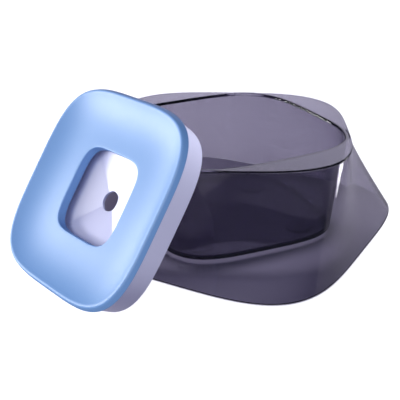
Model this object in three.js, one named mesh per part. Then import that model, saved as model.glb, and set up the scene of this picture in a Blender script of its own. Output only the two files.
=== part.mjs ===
// No-spill pet water bowl with a floating disc, in millimetres, +Z up.
//
// The bowl is two clear smoke mouldings: a deep cup with a flat land round its mouth, and a
// skirt that twists and flares from the land's edge down to a wider base.  The cup stands on
// four soft pads.  The disc belongs in the cup, where it floats on the water and lets a little
// through the hole in its well; here it is out of the cup and leans on the bowl's rim.  It is a
// white tray, a ring of foam that makes it float, and a blue splash guard that clips on top.

import * as THREE from 'three';
import { mergeVertices } from 'three/addons/utils/BufferGeometryUtils.js';

const SEGMENTS = 72;
const FILLET_STEPS = 3;
const GAP = 0.3;
const MERGE_DISTANCE = 1e-4;
const TURN_SEARCH_ROUNDS = 12;
const QUARTER = Math.PI / 2;

// Rounded squares: half width across the flats, squareness (2 is a circle) and turn about Z.
const RIM = { half: 94.9, power: 3.34, turn: 0 };
const BASE = { half: 120.2, power: 4.28, turn: -27.25 };
const OPENING = { half: 80.2, power: 3.49, turn: 29.4 };
const CUP_FOOT = { half: 74.0, power: 3.92, turn: 25.1 };

// Bowl
const BOWL_HEIGHT = 80.8;
const LAND_THICKNESS = 2.6;
const EDGE_ROUND = 0.8;
const SKIRT_LIFT = 0.6;
const SKIRT_WALL = 1.8;
const SKIRT_BANDS = 5;
const CUP_LIFT = 3.4;
const CUP_WALL = 1.7;
const CUP_FLOOR = 2.5;
const CUP_FILLET = 3.5;

// Pads under the cup, on its foot's diagonals
const PAD_COUNT = 4;
const PAD_HEADING = 45;
const PAD_RADIUS = 11.0;
const PAD_ROUND = 0.8;
const PAD_OFFSET = 44.0;
const PAD_SEGMENTS = 28;

// Disc, in its own frame: the lip's crest is at z = 0 and the disc lies below it.
const DISC_POWER = 3.97;
const MOUTH_POWER = 4.6;
const LIP_HALF = 71.8;
const LIP_ROUND = 1.6;
const LIP_THICKNESS = 2.8;
const CREST_HALF = 69.8;
const BAND_FLARE = 1.8;
const BAND_DEPTH = 4.0;
const GUARD_WALL = 1.9;
const DISH_DEPTH = 6.7;
const DISH_RINGS = 6;
const MOUTH_HALF = 32.7;
const MOUTH_ROUND = 1.0;
const MOUTH_DEPTH = 13.5;
const TRAY_TOP_HALF = 71.3;
const TRAY_FOOT_HALF = 69.4;
const TRAY_DEPTH = 23.2;
const TRAY_WALL = 1.8;
const TRAY_ROUND = 0.8;
const TRAY_GAP = 0.5;
const WELL_HALF = 34.8;
const WELL_STEP = 1.5;
const WELL_DROP = 4.8;
const HOLE_RADIUS = 7.4;
const HOLE_COLLAR_HALF = 10.0;
const FOAM_CLEARANCE = 0.6;
const FOAM_HEIGHT = 11.8;

// Where the disc's lip plane stands, and which way it faces.
const DISC_CENTRE = new THREE.Vector3(-94.95, -110.55, 70.22);
const DISC_HEADING = -137.75;
const DISC_TILT = 55.05;
const DISC_SPIN = 1.3;

const smoke = new THREE.MeshStandardMaterial({
  color: 0x6f6a86, roughness: 0.08, metalness: 0, transparent: true, opacity: 0.6,
});
const bluePlastic = new THREE.MeshStandardMaterial({ color: 0x9fc0f2, roughness: 0.45, metalness: 0 });
const whitePlastic = new THREE.MeshStandardMaterial({ color: 0xe9e9f6, roughness: 0.3, metalness: 0 });
const foam = new THREE.MeshStandardMaterial({ color: 0xf4f4f0, roughness: 0.95, metalness: 0 });
const silicone = new THREE.MeshStandardMaterial({ color: 0xd4d2de, roughness: 0.8, metalness: 0 });

// A rounded square's radius at an angle from the middle of one of its sides.
function squareRadius(half, power, angle) {
  const across = Math.abs(Math.cos(angle)) ** power;
  const along = Math.abs(Math.sin(angle)) ** power;
  return half * (across + along) ** (-1 / power);
}

// A ring is a function from an angle to a point.  A level ring is the outline grown by `grow`,
// at height z, and its first point is the middle of one of the outline's sides.
function level(outline, grow, z) {
  return (angle) => {
    const azimuth = angle + THREE.MathUtils.degToRad(outline.turn);
    const radius = squareRadius(outline.half + grow, outline.power, angle);
    return new THREE.Vector3(radius * Math.cos(azimuth), radius * Math.sin(azimuth), z);
  };
}

function onAxis(z) {
  return () => new THREE.Vector3(0, 0, z);
}

function between(low, high, share) {
  return (angle) => low(angle).lerp(high(angle), share);
}

// The same ring with its first point at `start` degrees, to match a neighbour's points.
function startedAt(start, ring) {
  return (angle) => {
    const azimuth = angle + THREE.MathUtils.degToRad(start);
    let along = azimuth;
    for (let round = 0; round < TURN_SEARCH_ROUNDS; round += 1) {
      const point = ring(along);
      const error = Math.atan2(point.y, point.x) - azimuth;
      along -= Math.atan2(Math.sin(error), Math.cos(error));
    }
    return ring(along);
  };
}

// Drops the faces that closed up where a ring shrank to a point.
function withoutEmptyFaces(geometry) {
  const index = geometry.getIndex().array;
  const kept = [];
  for (let face = 0; face < index.length; face += 3) {
    const [a, b, c] = [index[face], index[face + 1], index[face + 2]];
    if (a !== b && b !== c && c !== a) kept.push(a, b, c);
  }
  geometry.setIndex(kept);
  return geometry;
}

// A lathed solid whose rings are not circles.  The rings run up the outside, over the top and
// down the inside; a solid with no ring on the axis closes back on its first ring.
function lathed(rings, segments = SEGMENTS) {
  const turned = new THREE.LatheGeometry(rings.map((_, row) => new THREE.Vector2(1, row)), segments);
  turned.deleteAttribute('normal');
  turned.deleteAttribute('uv');
  const position = turned.getAttribute('position');
  for (let vertex = 0; vertex < position.count; vertex += 1) {
    const column = Math.floor(vertex / rings.length) % segments;
    const point = rings[vertex % rings.length]((column / segments) * Math.PI * 2);
    position.setXYZ(vertex, point.x, point.y, point.z);
  }
  const geometry = withoutEmptyFaces(mergeVertices(turned, MERGE_DISTANCE));
  geometry.computeVertexNormals();
  return geometry;
}

function closedRing(rings) {
  return lathed([...rings, rings[0]]);
}

// A quarter turn of fillet rings.  `corner` is the sharp corner the fillet rounds off.
function filletRings(outline, cornerGrow, cornerZ, radius, fromAngle, toAngle) {
  const rings = [];
  const middle = (fromAngle + toAngle) / 2;
  const centreGrow = cornerGrow - Math.SQRT2 * radius * Math.cos(middle);
  const centreZ = cornerZ - Math.SQRT2 * radius * Math.sin(middle);
  for (let step = 0; step <= FILLET_STEPS; step += 1) {
    const angle = fromAngle + ((toAngle - fromAngle) * step) / FILLET_STEPS;
    rings.push(level(outline, centreGrow + radius * Math.cos(angle), centreZ + radius * Math.sin(angle)));
  }
  return rings;
}

function named(name, geometry, material) {
  const mesh = new THREE.Mesh(geometry, material);
  mesh.name = name;
  return mesh;
}

// The skirt's surface is made of straight lines from the base outline to the rim outline,
// corner to corner.  `z` picks the height along them and `inset` goes into the wall.
function skirtLine(z, inset) {
  const share = (z - SKIRT_LIFT) / (BOWL_HEIGHT - SKIRT_LIFT);
  return between(level(BASE, -inset, SKIRT_LIFT), level(RIM, -inset, BOWL_HEIGHT), share);
}

function makeSkirt() {
  const top = BOWL_HEIGHT - LAND_THICKNESS - GAP;
  const outside = [];
  const inside = [];
  for (let band = 0; band <= SKIRT_BANDS; band += 1) {
    const z = SKIRT_LIFT + ((top - SKIRT_LIFT) * band) / SKIRT_BANDS;
    outside.push(skirtLine(z, 0));
    inside.unshift(skirtLine(z, SKIRT_WALL));
  }
  return named('skirt', closedRing([...outside, ...inside]), smoke);
}

// The cup and the flat land round its mouth.  The mouth is turned against the land's edge, so
// the land is a triangle at each of its own corners and its narrowest at each of the mouth's.
function makeCup() {
  const landUnderside = BOWL_HEIGHT - LAND_THICKNESS;
  const innerFloor = CUP_LIFT + CUP_FLOOR;
  const landEdge = [
    skirtLine(landUnderside, 0),
    level(RIM, 0, BOWL_HEIGHT - EDGE_ROUND),
    level(RIM, -EDGE_ROUND, BOWL_HEIGHT),
  ];
  const rings = [
    onAxis(CUP_LIFT),
    ...filletRings(CUP_FOOT, 0, CUP_LIFT, CUP_FILLET, -QUARTER, 0),
    level(OPENING, CUP_WALL, landUnderside),
    ...landEdge.map((ring) => startedAt(OPENING.turn, ring)),
    level(OPENING, EDGE_ROUND, BOWL_HEIGHT),
    level(OPENING, 0, BOWL_HEIGHT - EDGE_ROUND),
    ...filletRings(CUP_FOOT, -CUP_WALL, innerFloor, CUP_FILLET, 0, -QUARTER),
    onAxis(innerFloor),
  ];
  return named('cup', lathed(rings), smoke);
}

function makePad(number) {
  const height = CUP_LIFT - GAP;
  const profile = [
    new THREE.Vector2(0, 0),
    new THREE.Vector2(PAD_RADIUS - PAD_ROUND, 0),
    new THREE.Vector2(PAD_RADIUS, PAD_ROUND),
    new THREE.Vector2(PAD_RADIUS, height),
    new THREE.Vector2(0, height),
  ];
  const turned = new THREE.LatheGeometry(profile, PAD_SEGMENTS);
  turned.deleteAttribute('normal');
  turned.deleteAttribute('uv');
  const geometry = withoutEmptyFaces(mergeVertices(turned, MERGE_DISTANCE));
  geometry.rotateX(QUARTER);
  geometry.computeVertexNormals();
  const pad = named(`foot_pad_${number}`, geometry, silicone);
  const corner = THREE.MathUtils.degToRad(CUP_FOOT.turn + PAD_HEADING) + QUARTER * number;
  pad.position.set(
    PAD_OFFSET * Math.SQRT2 * Math.cos(corner),
    PAD_OFFSET * Math.SQRT2 * Math.sin(corner),
    0,
  );
  return pad;
}

function discOutline(half, power = DISC_POWER) {
  return { half, power, turn: 0 };
}

// The height of the dish's surface: level round the mouth, steepest under the lip.
function dishHeight(half) {
  const share = (half - MOUTH_HALF) / (CREST_HALF - MOUTH_HALF);
  return -DISH_DEPTH * (1 - share ** 3);
}

// The rings between two sizes, not counting the ends.  Their outline blends from the lip's to
// the mouth's, and they lie `sink` below the dish's surface.
function dishRings(fromHalf, toHalf, sink) {
  const rings = [];
  for (let ring = 1; ring <= DISH_RINGS; ring += 1) {
    const half = fromHalf + ((toHalf - fromHalf) * ring) / (DISH_RINGS + 1);
    const share = (half - MOUTH_HALF) / (LIP_HALF - MOUTH_HALF);
    const power = MOUTH_POWER + (DISC_POWER - MOUTH_POWER) * share;
    rings.push(level(discOutline(half, power), 0, dishHeight(half) - sink));
  }
  return rings;
}

// The blue splash guard: a shallow dish with a raised lip, a side band and the mouth's wall.
function makeSplashGuard() {
  const band = discOutline(LIP_HALF + BAND_FLARE);
  const mouth = discOutline(MOUTH_HALF, MOUTH_POWER);
  const rings = [
    level(band, 0, -BAND_DEPTH),
    ...filletRings(discOutline(LIP_HALF), 0, 0, LIP_ROUND, 0, QUARTER),
    ...dishRings(CREST_HALF, MOUTH_HALF + MOUTH_ROUND, 0),
    level(mouth, MOUTH_ROUND, -DISH_DEPTH),
    level(mouth, 0, -DISH_DEPTH - MOUTH_ROUND),
    level(mouth, 0, -MOUTH_DEPTH),
    level(mouth, GUARD_WALL, -MOUTH_DEPTH),
    level(mouth, GUARD_WALL, -DISH_DEPTH - GUARD_WALL),
    ...dishRings(MOUTH_HALF + GUARD_WALL, CREST_HALF, GUARD_WALL),
    level(band, -GUARD_WALL, -LIP_THICKNESS),
    level(band, -GUARD_WALL, -BAND_DEPTH),
  ];
  return named('splash_guard', closedRing(rings), bluePlastic);
}

// The white tray: outer wall, floor, and a well like an upturned pyramid, whose four facets
// slope down to the hole in the middle.
function makeFloatTray() {
  const top = -BAND_DEPTH - TRAY_GAP;
  const wellTop = -MOUTH_DEPTH - TRAY_GAP;
  const facetTop = wellTop - WELL_STEP;
  const collarTop = facetTop - (WELL_DROP * (WELL_HALF - HOLE_COLLAR_HALF)) / (WELL_HALF - HOLE_RADIUS);
  const holeTop = facetTop - WELL_DROP;
  const well = discOutline(WELL_HALF, MOUTH_POWER);
  const collar = discOutline(HOLE_COLLAR_HALF, MOUTH_POWER);
  const hole = discOutline(HOLE_RADIUS, 2);
  const foot = discOutline(TRAY_FOOT_HALF);
  const floor = -TRAY_DEPTH + TRAY_WALL;
  const rings = [
    level(foot, -TRAY_ROUND, -TRAY_DEPTH),
    level(foot, 0, -TRAY_DEPTH + TRAY_ROUND),
    level(discOutline(TRAY_TOP_HALF), 0, top),
    level(discOutline(TRAY_TOP_HALF), -TRAY_WALL, top),
    level(foot, -TRAY_WALL, floor),
    level(well, TRAY_WALL, floor),
    level(well, TRAY_WALL, wellTop),
    level(well, 0, wellTop),
    level(well, 0, facetTop),
    level(collar, 0, collarTop),
    level(hole, 0, holeTop),
    level(hole, 0, holeTop - TRAY_WALL),
    level(collar, 0, collarTop - TRAY_WALL),
    level(well, 0, facetTop - TRAY_WALL),
    level(well, 0, -TRAY_DEPTH),
  ];
  return named('float_tray', closedRing(rings), whitePlastic);
}

// A flat square ring of foam inside the disc, round the well.
function makeFloatFoam() {
  const inner = discOutline(WELL_HALF + TRAY_WALL + FOAM_CLEARANCE, MOUTH_POWER);
  const outer = discOutline(TRAY_FOOT_HALF - TRAY_WALL - FOAM_CLEARANCE);
  const foot = -TRAY_DEPTH + TRAY_WALL + GAP;
  const top = foot + FOAM_HEIGHT;
  const rings = [
    level(outer, 0, foot),
    level(outer, 0, top),
    level(inner, 0, top),
    level(inner, 0, foot),
  ];
  return named('float_foam', closedRing(rings), foam);
}

function makeBowl() {
  const bowl = new THREE.Group();
  bowl.add(makeSkirt(), makeCup());
  for (let number = 1; number <= PAD_COUNT; number += 1) bowl.add(makePad(number));
  return bowl;
}

// The disc's frame is turned in three steps, one group each: heading, tilt, then spin.
function makeDisc() {
  const spin = new THREE.Group();
  spin.rotation.z = THREE.MathUtils.degToRad(DISC_SPIN);
  spin.add(makeFloatTray(), makeFloatFoam(), makeSplashGuard());
  const tilt = new THREE.Group();
  tilt.rotation.y = THREE.MathUtils.degToRad(DISC_TILT);
  tilt.add(spin);
  const heading = new THREE.Group();
  heading.rotation.z = THREE.MathUtils.degToRad(DISC_HEADING);
  heading.position.copy(DISC_CENTRE);
  heading.add(tilt);
  return heading;
}

const group = new THREE.Group();
group.add(makeBowl(), makeDisc());

// The origin is the middle of the footprint of the bowl and the disc together.
group.updateMatrixWorld(true);
const box = new THREE.Box3().setFromObject(group, true);
const centre = box.getCenter(new THREE.Vector3());
group.position.set(-centre.x, -centre.y, -box.min.z);
group.updateMatrixWorld(true);

export default group;
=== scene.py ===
import math

import bmesh
import bpy
import numpy as np
from mathutils import Matrix, Vector


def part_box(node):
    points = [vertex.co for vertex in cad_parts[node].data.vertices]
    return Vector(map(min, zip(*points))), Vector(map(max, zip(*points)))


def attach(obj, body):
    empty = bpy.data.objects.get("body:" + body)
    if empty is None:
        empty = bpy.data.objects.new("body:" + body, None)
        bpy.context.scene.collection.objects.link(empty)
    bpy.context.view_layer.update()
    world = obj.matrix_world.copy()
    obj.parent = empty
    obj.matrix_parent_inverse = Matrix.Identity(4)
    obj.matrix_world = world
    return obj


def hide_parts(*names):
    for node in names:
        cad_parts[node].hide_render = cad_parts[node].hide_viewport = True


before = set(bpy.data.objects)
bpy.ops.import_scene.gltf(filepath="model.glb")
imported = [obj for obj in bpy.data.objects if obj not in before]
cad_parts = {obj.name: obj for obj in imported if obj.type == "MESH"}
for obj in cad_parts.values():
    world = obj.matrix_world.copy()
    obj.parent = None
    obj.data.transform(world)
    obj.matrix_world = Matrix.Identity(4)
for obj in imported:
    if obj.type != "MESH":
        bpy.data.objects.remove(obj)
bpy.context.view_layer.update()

# A no-spill pet water bowl of clear smoke plastic, with its blue and white floating disc out of
# the cup and leaning on the rim.  Metres, in the CAD frame.

MM = 0.001

# ---------------------------------------------------------------- places taken from the frame
cup_low, cup_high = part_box("cup")
skirt_low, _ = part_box("skirt")
BOWL_CENTRE = Vector(((cup_low[0] + cup_high[0]) / 2, (cup_low[1] + cup_high[1]) / 2, 0))
BOWL_HEIGHT = cup_high[2]
CUP_LIFT = cup_low[2]
SKIRT_LIFT = skirt_low[2]

# ---------------------------------------------------------------- sizes
# Rounded squares: half width across the flats, squareness (2 is a circle), turn about Z.
CIRCLE = 2.0
RIM = (94.9 * MM, 3.34, 0.0)
BASE = (120.2 * MM, 4.28, math.radians(-27.25))
OPENING = (80.2 * MM, 3.49, math.radians(29.4))
CUP_FOOT = (74.0 * MM, 3.92, math.radians(25.1))

# Bowl.  Here and below, a name in ROUND says how far an edge is rounded off.
SEAM = 0.3 * MM
SKIRT_WALL = 1.8 * MM
SKIRT_FOOT_ROUND = 0.8 * MM
SKIRT_TOP_ROUND = 0.4 * MM
CUP_WALL = 1.7 * MM
CUP_FLOOR = 2.5 * MM
CUP_FILLET = 3.6 * MM
LAND_THICKNESS = 2.6 * MM
LAND_MARGIN = 1.2 * MM
BEND_ROUND = 1.5 * MM
BEND_MARGIN = 3.0 * MM
BEND_INNER_ROUND = 0.5 * MM
BEND_INNER_MARGIN = 0.4 * MM
RIM_THICKNESS = 1.2 * MM
RIM_ROUND = 0.6 * MM
RIM_LOWER_ROUND = 0.2 * MM
RIM_FLARE = 0.4 * MM
RIM_STEP = 2.2 * MM
RIM_STEP_ROUND = 0.1 * MM

# Pads under the cup
PAD_COUNT = 4
PAD_RADIUS = 11.0 * MM
PAD_ROUND = 0.8 * MM
PAD_TOP_ROUND = 0.3 * MM
GRIP_COUNT = 3
GRIP_START = 2.4 * MM
GRIP_PITCH = 2.6 * MM
GRIP_WIDTH = 1.0 * MM
GRIP_SLOPE = 0.3 * MM
GRIP_DEPTH = 0.6 * MM
GRIP_ROOT_ROUND = 0.15 * MM
GRIP_CREST_ROUND = 0.25 * MM

# Disc, in its own frame: the lip's crest is at z = 0 and the disc lies below it.
DISC_POWER = 3.97
MOUTH_POWER = 4.6
LIP_HALF = 71.2 * MM
LIP_ROUND = 1.9 * MM
LIP_THICKNESS = 2.8 * MM
CREST_HALF = 69.5 * MM
CREST_ROUND = 1.2 * MM
BAND_HALF = 73.0 * MM
BAND_DEPTH = 4.0 * MM
BAND_ROUND = 0.4 * MM
BAND_INNER_ROUND = 0.3 * MM
GUARD_WALL = 1.9 * MM
GUARD_BEND_ROUND = 0.8 * MM
DISH_DEPTH = 6.7 * MM
DISH_POWER = 3
DISH_RINGS = 26
DISH_INNER_MARGIN = 2.5 * MM
DISH_OUTER_MARGIN = 1.2 * MM
UNDER_DISH_RINGS = 12
UNDER_INNER_MARGIN = 2.0 * MM
UNDER_OUTER_MARGIN = 4.0 * MM
MOUTH_HALF = 32.0 * MM
MOUTH_DEPTH = 13.5 * MM
MOUTH_RIM_ROUND = 0.8 * MM
MOUTH_FOOT_ROUND = 0.5 * MM
TRAY_TOP_HALF = 71.3 * MM
TRAY_TOP_ROUND = 0.5 * MM
TRAY_TOP_INNER_ROUND = 0.3 * MM
TRAY_FOOT_HALF = 69.4 * MM
TRAY_FOOT_ROUND = 1.0 * MM
TRAY_FOOT_INNER_ROUND = 1.2 * MM
TRAY_DEPTH = 23.2 * MM
TRAY_WALL = 1.8 * MM
GROOVE_INSET = 7.0 * MM
GROOVE_MOUTH = 1.6 * MM
GROOVE_BED = 1.2 * MM
GROOVE_DEPTH = 0.6 * MM
GROOVE_MOUTH_ROUND = 0.4 * MM
GROOVE_BED_ROUND = 0.3 * MM
WELL_HALF = 34.8 * MM
WELL_STEP = 1.5 * MM
WELL_SLOPE = 0.175
WELL_ROUND = 0.4 * MM
WELL_OUTER_ROUND = 1.0 * MM
WELL_UNDER_ROUND = 1.2 * MM
WELL_FOOT_ROUND = 0.8 * MM
CREASE_POWER = 24  # the higher, the crisper the creases between the well's four flat sides
HOLE_RADIUS = 7.4 * MM
PART_GAP = 0.5 * MM
FOAM_CLEARANCE = 0.6 * MM
FOAM_LIFT = 0.3 * MM
FOAM_HEIGHT = 11.8 * MM
FOAM_ROUND = 0.6 * MM

# Where the disc stands from the middle of the bowl, which way it faces, its lean and its spin.
DISC_PLACE = Vector((-94.95, -110.55, 70.22)) * MM
DISC_HEADING = math.radians(-137.75)
DISC_TILT = math.radians(55.05)
DISC_SPIN = math.radians(1.3)

# ---------------------------------------------------------------- detail of the finished meshes
# Points round a ring, rings round a rounded edge, and the most of a straight stretch that one
# rounded edge may take up.
SEGMENTS = 240
ARC_STEPS = 6
CORNER_SHARE = 0.49

# Rings along a straight stretch: how far apart, how long a stretch has to be to be cut up, and
# how close to its ends the first and last rings are.
FINE_SPAN = 2.0 * MM
MEDIUM_SPAN = 3.0 * MM
COARSE_SPAN = 4.0 * MM
LONG_STRETCH = 2.0 * MM
EDGE_SUPPORT = 0.25 * MM

# A ring on a piece's axis is this small, and its points are then merged into one.
AXIS_RADIUS = 1e-7
MERGE_DISTANCE = 1e-6


# ================================================================ mesh making
def square_radius(power, angle):
    across = np.abs(np.cos(angle)) ** power
    along = np.abs(np.sin(angle)) ** power
    return (across + along) ** (-1 / power)


def angles():
    return np.linspace(0, 2 * math.pi, SEGMENTS, endpoint=False)


def outline(shape, grow=0.0):
    """The points of a rounded square, starting at the middle of one of its sides."""
    half, power, turn = shape
    radius = (half + grow) * square_radius(power, angles())
    azimuth = angles() + turn
    return np.stack([radius * np.cos(azimuth), radius * np.sin(azimuth)], axis=1)


def started_at(turn, shape, grow=0.0):
    """A rounded square with its first point at `turn`, to match a neighbour's points."""
    half, power, own_turn = shape
    azimuth = angles() + turn
    radius = (half + grow) * square_radius(power, azimuth - own_turn)
    return np.stack([radius * np.cos(azimuth), radius * np.sin(azimuth)], axis=1)


def rounded(corners, closed):
    """A profile with its corners rounded.  Each corner is (radius, values...); the values are
    blended, so that a ring's size, height and squareness all turn the corner together."""
    radii = [corner[0] for corner in corners]
    values = [np.array(corner[1:], dtype=float) for corner in corners]
    count = len(values)
    profile = []
    for index, (radius, here) in enumerate(zip(radii, values)):
        at_end = not closed and index in (0, count - 1)
        if radius == 0 or at_end:
            profile.append(here)
            continue
        before, after = values[index - 1], values[(index + 1) % count]
        start, end = (
            here + (other - here) * min(CORNER_SHARE, radius / np.linalg.norm((other - here)[:2]))
            for other in (before, after)
        )
        for step in range(ARC_STEPS + 1):
            t = step / ARC_STEPS
            profile.append((1 - t) ** 2 * start + 2 * t * (1 - t) * here + t**2 * end)
    return profile


def filled(profile, closed, longest):
    """The profile with its long straight stretches cut into shorter ones, the first and last
    of them very short, so that shading stays flat right up to a rounded corner."""
    result = []
    last = len(profile) if closed else len(profile) - 1
    for index in range(last):
        here, after = profile[index], profile[(index + 1) % len(profile)]
        length = np.linalg.norm((after - here)[:2])
        result.append(here)
        if length < LONG_STRETCH:
            continue
        margin = EDGE_SUPPORT / length
        pieces = max(1, math.ceil(length / longest))
        shares = np.linspace(margin, 1 - margin, pieces + 1)
        result.extend(here + (after - here) * share for share in shares)
    if not closed:
        result.append(profile[-1])
    return result


def loft(name, rings, closed):
    """A solid through rings of points.  An open one ends in a point at each end."""
    points = np.concatenate(rings)
    count = SEGMENTS
    faces = []
    spans = len(rings) if closed else len(rings) - 1
    for ring in range(spans):
        low, high = ring * count, ((ring + 1) % len(rings)) * count
        for column in range(count):
            after = (column + 1) % count
            faces.append((low + column, low + after, high + after, high + column))
    mesh = bpy.data.meshes.new(name)
    mesh.from_pydata(points.tolist(), [], faces)
    mesh.validate()
    piece = bpy.data.objects.new(name, mesh)
    bpy.context.scene.collection.objects.link(piece)
    merge_close_points(mesh)
    mesh.shade_smooth()
    return piece


def merge_close_points(mesh):
    work = bmesh.new()
    work.from_mesh(mesh)
    bmesh.ops.remove_doubles(work, verts=work.verts, dist=MERGE_DISTANCE)
    bmesh.ops.recalc_face_normals(work, faces=work.faces)
    work.to_mesh(mesh)
    work.free()


def level(points, z):
    return np.column_stack([points, np.full(len(points), z)])


def place(piece, matrix):
    piece.data.transform(matrix)


def finish_piece(piece, body, slot, material, *nodes):
    piece.data.materials.clear()
    piece.data.materials.append(material)
    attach(piece, body)
    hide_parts(*nodes)


# ================================================================ materials
# Scales of noise are in ripples per metre, and depths of a grain in metres.
NOISE_ROUGHNESS = 0.55
COLOUR_DRIFT = 22.0
GLOSS_DRIFT = 260.0
GRAIN_DETAIL = 6.0
GRAIN_STRENGTH = 0.12
GRAIN_DEPTH = 0.0002

# Smoke plastic takes light off along its path.  A shadow's colour is what one face lets through.
SMOKE_DENSITY = 425.0
SMOKE_COLOUR = (0.085, 0.033, 0.225, 1)
SMOKE_IOR = 1.49
SMOKE_GLOSS_DRIFT = 90.0
SMOKE_GLOSS = (0.02, 0.06)
SMOKE_WAVES = 14.0
SMOKE_WAVE_DETAIL = 2.0
SMOKE_WAVE_STRENGTH = 0.04
SMOKE_WAVE_DEPTH = 0.0006
SKIRT_SHADOW = (0.55, 0.54, 0.58, 1)
CUP_SHADOW = (0.68, 0.67, 0.71, 1)

RUBBER_ROUGHNESS = 0.8
RUBBER_DRIFT = 60.0
RUBBER_DETAIL = 4.0
RUBBER_STRENGTH = 0.4

PURE_WHITE = (1, 1, 1, 1)


def new_material(name):
    material = bpy.data.materials.new(name)
    material.use_nodes = True
    tree = material.node_tree
    tree.nodes.clear()
    output = tree.nodes.new("ShaderNodeOutputMaterial")
    return material, tree, output


def add(tree, kind, **inputs):
    node = tree.nodes.new(kind)
    for key, value in inputs.items():
        node.inputs[key.replace("_", " ")].default_value = value
    return node


def noise(tree, coordinates, scale, detail=3.0):
    node = add(
        tree, "ShaderNodeTexNoise", Scale=scale, Detail=detail, Roughness=NOISE_ROUGHNESS
    )
    tree.links.new(coordinates, node.inputs["Vector"])
    return node.outputs["Fac"]


def ramp(tree, value, low, high):
    """Value 0..1 spread between two numbers or two colours, which have sockets of their own."""
    node = tree.nodes.new("ShaderNodeMix")
    if isinstance(low, tuple):
        node.data_type, first, second, result = "RGBA", 6, 7, 2
    else:
        node.data_type, first, second, result = "FLOAT", 2, 3, 0
    node.inputs[first].default_value = low
    node.inputs[second].default_value = high
    tree.links.new(value, node.inputs[0])
    return node.outputs[result]


def calculate(tree, operation, first, second):
    """Two values put together, and kept between 0 and 1."""
    node = tree.nodes.new("ShaderNodeMath")
    node.operation = operation
    node.use_clamp = True
    tree.links.new(first, node.inputs[0])
    tree.links.new(second, node.inputs[1])
    return node.outputs[0]


def bump(tree, height, strength, distance):
    node = add(tree, "ShaderNodeBump", Strength=strength, Distance=distance)
    tree.links.new(height, node.inputs["Height"])
    return node.outputs["Normal"]


def position(tree):
    return tree.nodes.new("ShaderNodeTexCoord").outputs["Object"]


def plastic(name, dark, light, rough, grain, **principled):
    """Moulded plastic: a faint drift of colour, a fine grain and slightly uneven gloss."""
    material, tree, output = new_material(name)
    where = position(tree)
    shader = add(tree, "ShaderNodeBsdfPrincipled", **principled)
    colour = ramp(tree, noise(tree, where, COLOUR_DRIFT), dark, light)
    tree.links.new(colour, shader.inputs["Base Color"])
    gloss = ramp(tree, noise(tree, where, GLOSS_DRIFT), *rough)
    tree.links.new(gloss, shader.inputs["Roughness"])
    normal = bump(tree, noise(tree, where, grain, GRAIN_DETAIL), GRAIN_STRENGTH, GRAIN_DEPTH)
    tree.links.new(normal, shader.inputs["Normal"])
    tree.links.new(shader.outputs[0], output.inputs["Surface"])
    return material


def smoke_plastic(name, shadow):
    """Clear smoke plastic, darker along its edges, where light goes a long way through it.
    Rays to lamps go straight through, and lose a little more at each face."""
    material, tree, output = new_material(name)
    where = position(tree)
    shader = add(
        tree, "ShaderNodeBsdfPrincipled",
        Base_Color=PURE_WHITE, IOR=SMOKE_IOR, Transmission_Weight=1.0,
    )
    gloss = ramp(tree, noise(tree, where, SMOKE_GLOSS_DRIFT), *SMOKE_GLOSS)
    tree.links.new(gloss, shader.inputs["Roughness"])
    waves = noise(tree, where, SMOKE_WAVES, SMOKE_WAVE_DETAIL)
    normal = bump(tree, waves, SMOKE_WAVE_STRENGTH, SMOKE_WAVE_DEPTH)
    tree.links.new(normal, shader.inputs["Normal"])
    clear = add(tree, "ShaderNodeBsdfTransparent", Color=shadow)
    path = tree.nodes.new("ShaderNodeLightPath")
    mix = tree.nodes.new("ShaderNodeMixShader")
    tree.links.new(path.outputs["Is Shadow Ray"], mix.inputs[0])
    tree.links.new(shader.outputs[0], mix.inputs[1])
    tree.links.new(clear.outputs[0], mix.inputs[2])
    tree.links.new(mix.outputs[0], output.inputs["Surface"])
    inside = add(tree, "ShaderNodeVolumeAbsorption", Color=SMOKE_COLOUR, Density=SMOKE_DENSITY)
    tree.links.new(inside.outputs[0], output.inputs["Volume"])
    return material


def rubbery(name, dark, light, grain, depth):
    """Silicone or foam: matt, with a drift of colour and a grain."""
    material, tree, output = new_material(name)
    where = position(tree)
    shader = add(tree, "ShaderNodeBsdfPrincipled", Roughness=RUBBER_ROUGHNESS)
    colour = ramp(tree, noise(tree, where, RUBBER_DRIFT), dark, light)
    tree.links.new(colour, shader.inputs["Base Color"])
    normal = bump(tree, noise(tree, where, grain, RUBBER_DETAIL), RUBBER_STRENGTH, depth)
    tree.links.new(normal, shader.inputs["Normal"])
    tree.links.new(shader.outputs[0], output.inputs["Surface"])
    return material


SKIRT_SMOKE = smoke_plastic("smoke_plastic_skirt", SKIRT_SHADOW)
CUP_SMOKE = smoke_plastic("smoke_plastic_cup", CUP_SHADOW)
BLUE = plastic(
    "blue_plastic", dark=(0.130, 0.292, 0.600, 1), light=(0.150, 0.322, 0.630, 1),
    rough=(0.48, 0.55), grain=3800.0, Specular_IOR_Level=1.0,
)
WHITE = plastic(
    "white_plastic", dark=(0.68, 0.69, 0.92, 1), light=(0.73, 0.74, 0.95, 1),
    rough=(0.26, 0.34), grain=3000.0,
)
PAD = rubbery(
    "pad_silicone", dark=(0.80, 0.79, 0.84, 1), light=(0.86, 0.85, 0.89, 1),
    grain=1500.0, depth=0.0003,
)
FOAM = rubbery(
    "float_foam", dark=(0.86, 0.86, 0.84, 1), light=(0.93, 0.93, 0.90, 1),
    grain=900.0, depth=0.0008,
)


# ================================================================ the bowl
def skirt_ring(inset, z):
    """The skirt is made of straight lines, corner to corner, from the base to the rim."""
    share = (z - SKIRT_LIFT) / (BOWL_HEIGHT - SKIRT_LIFT)
    points = (1 - share) * outline(BASE, -inset) + share * outline(RIM, -inset)
    return level(points, z)


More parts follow.
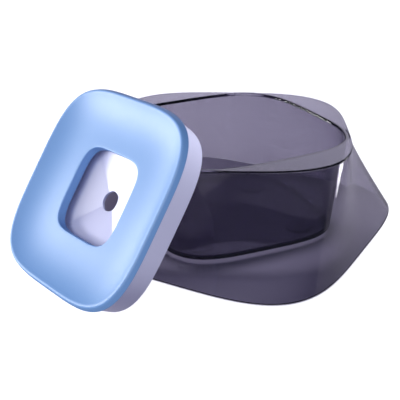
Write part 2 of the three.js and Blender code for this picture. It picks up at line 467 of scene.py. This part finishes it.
def make_skirt():
    top = BOWL_HEIGHT - RIM_THICKNESS - SEAM
    corners = [
        (SKIRT_FOOT_ROUND, 0, SKIRT_LIFT),
        (SKIRT_TOP_ROUND, 0, top),
        (SKIRT_TOP_ROUND, SKIRT_WALL, top),
        (SKIRT_FOOT_ROUND, SKIRT_WALL, SKIRT_LIFT),
    ]
    profile = filled(rounded(corners, True), True, MEDIUM_SPAN)
    rings = [skirt_ring(inset, z) for inset, z in profile]
    skirt = loft("bowl_skirt", rings, True)
    place(skirt, Matrix.Translation(BOWL_CENTRE))
    return skirt


def cup_ring(grow, z, foot, opening, rim):
    """A ring of the cup: shares of the foot's, the mouth's and the land's outlines."""
    points = (
        foot * outline(CUP_FOOT, grow)
        + opening * outline(OPENING, grow)
        + rim * started_at(OPENING[2], RIM, grow)
    )
    return level(points, z)


def make_cup():
    """The cup, its wall bent over into a flat land that steps up over the skirt's top edge."""
    underside = BOWL_HEIGHT - LAND_THICKNESS
    rim_underside = BOWL_HEIGHT - RIM_THICKNESS
    floor = CUP_LIFT + CUP_FLOOR
    middle = -CUP_FOOT[0] + AXIS_RADIUS
    foot, opening, rim = (1, 0, 0), (0, 1, 0), (0, 0, 1)
    corners = [
        (0, middle, CUP_LIFT, *foot),
        (CUP_FILLET, 0, CUP_LIFT, *foot),
        (BEND_INNER_ROUND, CUP_WALL, underside, *opening),
        (0, CUP_WALL + BEND_INNER_MARGIN, underside, *opening),
        (RIM_STEP_ROUND, -RIM_STEP, underside, *rim),
        (RIM_STEP_ROUND, -RIM_STEP, rim_underside, *rim),
        (RIM_LOWER_ROUND, RIM_FLARE, rim_underside, *rim),
        (RIM_ROUND, 0, BOWL_HEIGHT, *rim),
        (0, -LAND_MARGIN, BOWL_HEIGHT, *rim),
        (0, BEND_MARGIN, BOWL_HEIGHT, *opening),
        (BEND_ROUND, 0, BOWL_HEIGHT, *opening),
        (CUP_FILLET, -CUP_WALL, floor, *foot),
        (0, middle, floor, *foot),
    ]
    profile = filled(rounded(corners, False), False, COARSE_SPAN)
    rings = [cup_ring(*values) for values in profile]
    cup = loft("bowl_cup", rings, False)
    place(cup, Matrix.Translation(BOWL_CENTRE))
    return cup


def make_pad(number):
    """A round pad with grooves in its underside for grip."""
    low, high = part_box(f"foot_pad_{number}")
    middle = Vector(((low[0] + high[0]) / 2, (low[1] + high[1]) / 2, 0))
    top = high[2]
    corners = [(0, AXIS_RADIUS, GRIP_DEPTH)]
    for ridge in range(GRIP_COUNT):
        near = GRIP_START + GRIP_PITCH * ridge
        far = near + 2 * GRIP_SLOPE + GRIP_WIDTH
        corners += [
            (GRIP_ROOT_ROUND, near, GRIP_DEPTH),
            (GRIP_CREST_ROUND, near + GRIP_SLOPE, 0),
            (GRIP_CREST_ROUND, far - GRIP_SLOPE, 0),
            (GRIP_ROOT_ROUND, far, GRIP_DEPTH),
        ]
    corners += [(PAD_ROUND, PAD_RADIUS, 0), (PAD_TOP_ROUND, PAD_RADIUS, top), (0, AXIS_RADIUS, top)]
    profile = rounded(corners, False)
    rings = [level(outline((radius, CIRCLE, 0.0)), z) for radius, z in profile]
    pad = loft(f"grip_pad_{number}", rings, False)
    place(pad, Matrix.Translation(middle))
    return pad


# ================================================================ the disc
def disc_matrix():
    return (
        Matrix.Translation(BOWL_CENTRE + DISC_PLACE)
        @ Matrix.Rotation(DISC_HEADING, 4, "Z")
        @ Matrix.Rotation(DISC_TILT, 4, "Y")
        @ Matrix.Rotation(DISC_SPIN, 4, "Z")
    )


def disc_ring(half, z, power):
    return level(outline((half, power, 0.0)), z)


def dish_profile(sink, halves):
    """The dish's surface, level round the mouth and steepest under the lip."""
    reach = CREST_HALF - MOUTH_HALF
    corners = []
    for half in halves:
        share = (half - MOUTH_HALF) / reach
        power = MOUTH_POWER + (DISC_POWER - MOUTH_POWER) * share
        corners.append((0, half, -DISH_DEPTH * (1 - share**DISH_POWER) - sink, power))
    return corners


def make_splash_guard():
    dish = np.linspace(CREST_HALF - DISH_OUTER_MARGIN, MOUTH_HALF + DISH_INNER_MARGIN, DISH_RINGS)
    inner, outer = MOUTH_HALF + GUARD_WALL + UNDER_INNER_MARGIN, CREST_HALF - UNDER_OUTER_MARGIN
    underside = np.linspace(inner, outer, UNDER_DISH_RINGS)
    corners = [
        (BAND_ROUND, BAND_HALF, -BAND_DEPTH, DISC_POWER),
        (LIP_ROUND, LIP_HALF, 0, DISC_POWER),
        (CREST_ROUND, CREST_HALF, 0, DISC_POWER),
        *dish_profile(0, dish),
        (MOUTH_RIM_ROUND, MOUTH_HALF, -DISH_DEPTH, MOUTH_POWER),
        (MOUTH_FOOT_ROUND, MOUTH_HALF, -MOUTH_DEPTH, MOUTH_POWER),
        (MOUTH_FOOT_ROUND, MOUTH_HALF + GUARD_WALL, -MOUTH_DEPTH, MOUTH_POWER),
        (GUARD_BEND_ROUND, MOUTH_HALF + GUARD_WALL, -DISH_DEPTH - GUARD_WALL, MOUTH_POWER),
        *dish_profile(GUARD_WALL, underside),
        (GUARD_BEND_ROUND, BAND_HALF - GUARD_WALL, -LIP_THICKNESS, DISC_POWER),
        (BAND_INNER_ROUND, BAND_HALF - GUARD_WALL, -BAND_DEPTH, DISC_POWER),
    ]
    profile = filled(rounded(corners, True), True, MEDIUM_SPAN)
    rings = [disc_ring(*values) for values in profile]
    return loft("blue_splash_guard", rings, True)


def tray_ring(half, z, power, faceted):
    """A ring of the tray.  Where it is faceted it follows the four flat sides of a pyramid."""
    points = outline((half, power, 0.0))
    reach = np.linalg.norm(points, ord=CREASE_POWER, axis=1)
    drop = faceted * WELL_SLOPE * (half - reach)
    return np.column_stack([points, z - drop])


def make_float_tray():
    """The tray with its pyramid-shaped well, and a moulded groove round its underside."""
    top = -BAND_DEPTH - PART_GAP
    well_top = -MOUTH_DEPTH - PART_GAP
    facet_top = well_top - WELL_STEP
    floor = -TRAY_DEPTH + TRAY_WALL
    hole_top = facet_top - WELL_SLOPE * (WELL_HALF - HOLE_RADIUS)
    groove = TRAY_FOOT_HALF - GROOVE_INSET
    bed = -TRAY_DEPTH + GROOVE_DEPTH
    corners = [
        (GROOVE_MOUTH_ROUND, groove - GROOVE_MOUTH, -TRAY_DEPTH, DISC_POWER, 0),
        (GROOVE_BED_ROUND, groove - GROOVE_BED, bed, DISC_POWER, 0),
        (GROOVE_BED_ROUND, groove + GROOVE_BED, bed, DISC_POWER, 0),
        (GROOVE_MOUTH_ROUND, groove + GROOVE_MOUTH, -TRAY_DEPTH, DISC_POWER, 0),
        (TRAY_FOOT_ROUND, TRAY_FOOT_HALF, -TRAY_DEPTH, DISC_POWER, 0),
        (TRAY_TOP_ROUND, TRAY_TOP_HALF, top, DISC_POWER, 0),
        (TRAY_TOP_INNER_ROUND, TRAY_TOP_HALF - TRAY_WALL, top, DISC_POWER, 0),
        (TRAY_FOOT_INNER_ROUND, TRAY_FOOT_HALF - TRAY_WALL, floor, DISC_POWER, 0),
        (WELL_OUTER_ROUND, WELL_HALF + TRAY_WALL, floor, MOUTH_POWER, 0),
        (WELL_ROUND, WELL_HALF + TRAY_WALL, well_top, MOUTH_POWER, 0),
        (WELL_ROUND, WELL_HALF, well_top, MOUTH_POWER, 0),
        (WELL_ROUND, WELL_HALF, facet_top, MOUTH_POWER, 1),
        (WELL_ROUND, HOLE_RADIUS, hole_top, CIRCLE, 1),
        (WELL_ROUND, HOLE_RADIUS, hole_top - TRAY_WALL, CIRCLE, 1),
        (WELL_UNDER_ROUND, WELL_HALF, facet_top - TRAY_WALL, MOUTH_POWER, 1),
        (WELL_FOOT_ROUND, WELL_HALF, -TRAY_DEPTH, MOUTH_POWER, 0),
    ]
    profile = filled(rounded(corners, True), True, FINE_SPAN)
    rings = [tray_ring(*values) for values in profile]
    return loft("white_float_tray", rings, True)


def make_foam():
    inner = WELL_HALF + TRAY_WALL + FOAM_CLEARANCE
    outer = TRAY_FOOT_HALF - TRAY_WALL - FOAM_CLEARANCE
    foot = -TRAY_DEPTH + TRAY_WALL + FOAM_LIFT
    top = foot + FOAM_HEIGHT
    corners = [
        (FOAM_ROUND, outer, foot, DISC_POWER),
        (FOAM_ROUND, outer, top, DISC_POWER),
        (FOAM_ROUND, inner, top, MOUTH_POWER),
        (FOAM_ROUND, inner, foot, MOUTH_POWER),
    ]
    profile = filled(rounded(corners, True), True, COARSE_SPAN)
    return loft("foam_ring", [disc_ring(*values) for values in profile], True)


def build():
    finish_piece(make_skirt(), "bowl", "smoke_plastic", SKIRT_SMOKE, "skirt")
    finish_piece(make_cup(), "bowl", "smoke_plastic", CUP_SMOKE, "cup")
    for number in range(1, PAD_COUNT + 1):
        finish_piece(make_pad(number), "bowl", "pad_silicone", PAD, f"foot_pad_{number}")
    stand = disc_matrix()
    disc = (
        (make_float_tray(), "float", "white_plastic", WHITE, "float_tray"),
        (make_foam(), "float", "float_foam", FOAM, "float_foam"),
        (make_splash_guard(), "guard", "blue_plastic", BLUE, "splash_guard"),
    )
    for piece, *facts in disc:
        place(piece, stand)
        finish_piece(piece, *facts)


# ================================================================ stage, light and camera
FLOOR_SIZE = 12
FLOOR_COLOUR = (0.92, 0.92, 0.93, 1)
FLOOR_BOUNCE = (0.26, 0.25, 0.29, 1)

WASH_STRENGTH = 3.2
WASH_SPREAD = math.radians(12)
WASH_PLACE = (0, 0, 2)

# These places are from the middle of the bowl.
GLOW_SPOT = Vector((0.15, 0.03, 0))
GLOW_HEIGHT = 0.09
GLOW_SIZE = (0.1, 0.1)
GLOW_BRIGHTNESS = 0.55
RIDGE_AIM = Vector((0.08, -0.075, 0.07))
RIDGE_LIGHTS = (
    ("ridge_light", Vector((0.36, 0.035, 0.012)), (0.07, 0.06), 8.5),
    ("ridge_glow", Vector((0.38, 0.075, 0.012)), (0.16, 0.12), 2.0),
)

# Soft boxes: name, place, size, brightness, colour, and the only pieces it lights, if not all.
STUDIO_AIM = (-0.09, -0.09, 0.07)
LAVENDER = (0.86, 0.82, 1, 1)
STUDIO_LIGHTS = (
    ("key_left", (-1.61, 0.22, 0.14), (1.3, 0.40), 20.0, PURE_WHITE, ()),
    ("front_fill", (-0.35, -1.6, 0.85), (0.8, 0.8), 9.0, PURE_WHITE, ("blue_splash_guard",)),
    ("well_light", (-1.2, -0.45, 0.72), (0.5, 0.5), 8.0, PURE_WHITE, ("white_float_tray",)),
    ("top_right", (1.0, 0.1, 1.4), (0.7, 0.7), 17.0, PURE_WHITE, ("white_float_tray",)),
    ("back_panel", (0, 2.4, 1.1), (3.0, 1.2), 1.2, LAVENDER, ()),
)

SURROUNDINGS = (0.62, 0.65, 1, 1)
SURROUNDINGS_STRENGTH = 0.22

# The camera stands straight in front of the bowl and looks down at it.
CAMERA_BACK = 613.2 * MM
CAMERA_HEIGHT = 293.6 * MM
CAMERA_PITCH = math.radians(-24.38)
CAMERA_YAW = math.radians(2.15)
CAMERA_LENS = 72.46
CAMERA_SENSOR = 36.0
CAMERA_NEAREST = 0.01


def make_floor():
    """A white floor that looks darker in mirrors and throws less light up at the object."""
    bpy.ops.mesh.primitive_plane_add(size=FLOOR_SIZE)
    floor = bpy.context.object
    floor.name = "studio_floor"
    material, tree, output = new_material("studio_floor")
    shader = add(tree, "ShaderNodeBsdfPrincipled", Roughness=0.9, Specular_IOR_Level=0.1)
    path = tree.nodes.new("ShaderNodeLightPath")
    mirrored = calculate(
        tree, "SUBTRACT", path.outputs["Is Glossy Ray"], path.outputs["Is Transmission Ray"]
    )
    bounced = calculate(tree, "MAXIMUM", path.outputs["Is Diffuse Ray"], mirrored)
    colour = ramp(tree, bounced, FLOOR_COLOUR, FLOOR_BOUNCE)
    tree.links.new(colour, shader.inputs["Base Color"])
    tree.links.new(shader.outputs[0], output.inputs["Surface"])
    floor.data.materials.append(material)
    return floor


def aimed(holder, aim):
    direction = Vector(aim) - holder.location
    holder.rotation_mode = "QUATERNION"
    holder.rotation_quaternion = direction.to_track_quat("-Z", "Y")


def make_panel(name, where, aim, size, brightness, colour=PURE_WHITE):
    """A soft box.  Its brightness is that of its surface, where the white floor is about 1."""
    lamp = bpy.data.lights.new(name, "AREA")
    lamp.shape = "RECTANGLE"
    lamp.size, lamp.size_y = size
    lamp.energy = brightness * math.pi * size[0] * size[1]
    lamp.color = colour[:3]
    holder = bpy.data.objects.new(name, lamp)
    holder.location = where
    holder.visible_camera = False
    aimed(holder, aim)
    bpy.context.scene.collection.objects.link(holder)
    return holder


def shine_only_on(holder, *names):
    """Of all the pieces, only the named ones are lit by this lamp and mirror it."""
    lit = bpy.data.collections.new("lit_by_" + holder.name)
    for name in names:
        lit.objects.link(bpy.data.objects[name])
    holder.light_linking.receiver_collection = lit


def make_floor_wash(floor):
    """Light straight down on the floor and the pads alone.  Only the bowl shades it."""
    lamp = bpy.data.lights.new("floor_wash", "SUN")
    lamp.energy = WASH_STRENGTH
    lamp.angle = WASH_SPREAD
    holder = bpy.data.objects.new("floor_wash", lamp)
    holder.location = WASH_PLACE
    bpy.context.scene.collection.objects.link(holder)
    pads = [f"grip_pad_{number}" for number in range(1, PAD_COUNT + 1)]
    shine_only_on(holder, floor.name, *pads)
    shading = bpy.data.collections.new("shading_floor_wash")
    for name in ("bowl_skirt", "bowl_cup"):
        shading.objects.link(bpy.data.objects[name])
    holder.light_linking.blocker_collection = shading


def make_floor_glow(floor):
    """A low lamp that lights the floor under the bowl's right side, and nothing shades it."""
    spot = BOWL_CENTRE + GLOW_SPOT
    above = spot + Vector((0, 0, GLOW_HEIGHT))
    glow = make_panel("floor_glow", above, spot, GLOW_SIZE, GLOW_BRIGHTNESS)
    shine_only_on(glow, floor.name)
    glow.light_linking.blocker_collection = glow.light_linking.receiver_collection


def make_ridge_lights():
    """A bright box in a soft glow, low on the right, for the streak down the bowl's ridge."""
    ridge = BOWL_CENTRE + RIDGE_AIM
    for name, offset, size, brightness in RIDGE_LIGHTS:
        panel = make_panel(name, BOWL_CENTRE + offset, ridge, size, brightness)
        shine_only_on(panel, "bowl_skirt", "bowl_cup")


def make_world():
    """Dim blue surroundings for the object, and white ones for the camera."""
    world = bpy.data.worlds.new("studio")
    world.use_nodes = True
    tree = world.node_tree
    dim = tree.nodes["Background"]
    dim.inputs["Color"].default_value = SURROUNDINGS
    dim.inputs["Strength"].default_value = SURROUNDINGS_STRENGTH
    white = tree.nodes.new("ShaderNodeBackground")
    white.inputs["Color"].default_value = PURE_WHITE
    path = tree.nodes.new("ShaderNodeLightPath")
    mix = tree.nodes.new("ShaderNodeMixShader")
    tree.links.new(path.outputs["Is Camera Ray"], mix.inputs[0])
    tree.links.new(dim.outputs[0], mix.inputs[1])
    tree.links.new(white.outputs[0], mix.inputs[2])
    tree.links.new(mix.outputs[0], tree.nodes["World Output"].inputs["Surface"])
    bpy.context.scene.world = world
    bpy.context.scene.view_settings.view_transform = "Standard"


def make_camera():
    data = bpy.data.cameras.new("camera")
    data.lens = CAMERA_LENS
    data.sensor_width = CAMERA_SENSOR
    data.clip_start = CAMERA_NEAREST
    camera = bpy.data.objects.new("camera", data)
    camera.location = BOWL_CENTRE + Vector((0, -CAMERA_BACK, CAMERA_HEIGHT))
    camera.rotation_euler = (math.pi / 2 + CAMERA_PITCH, 0, CAMERA_YAW)
    bpy.context.scene.collection.objects.link(camera)
    bpy.context.scene.camera = camera


def make_studio():
    make_world()
    floor = make_floor()
    make_floor_wash(floor)
    make_floor_glow(floor)
    for name, where, size, brightness, colour, pieces in STUDIO_LIGHTS:
        panel = make_panel(name, where, STUDIO_AIM, size, brightness, colour)
        if pieces:
            shine_only_on(panel, *pieces)
    make_ridge_lights()
    make_camera()


build()
make_studio()
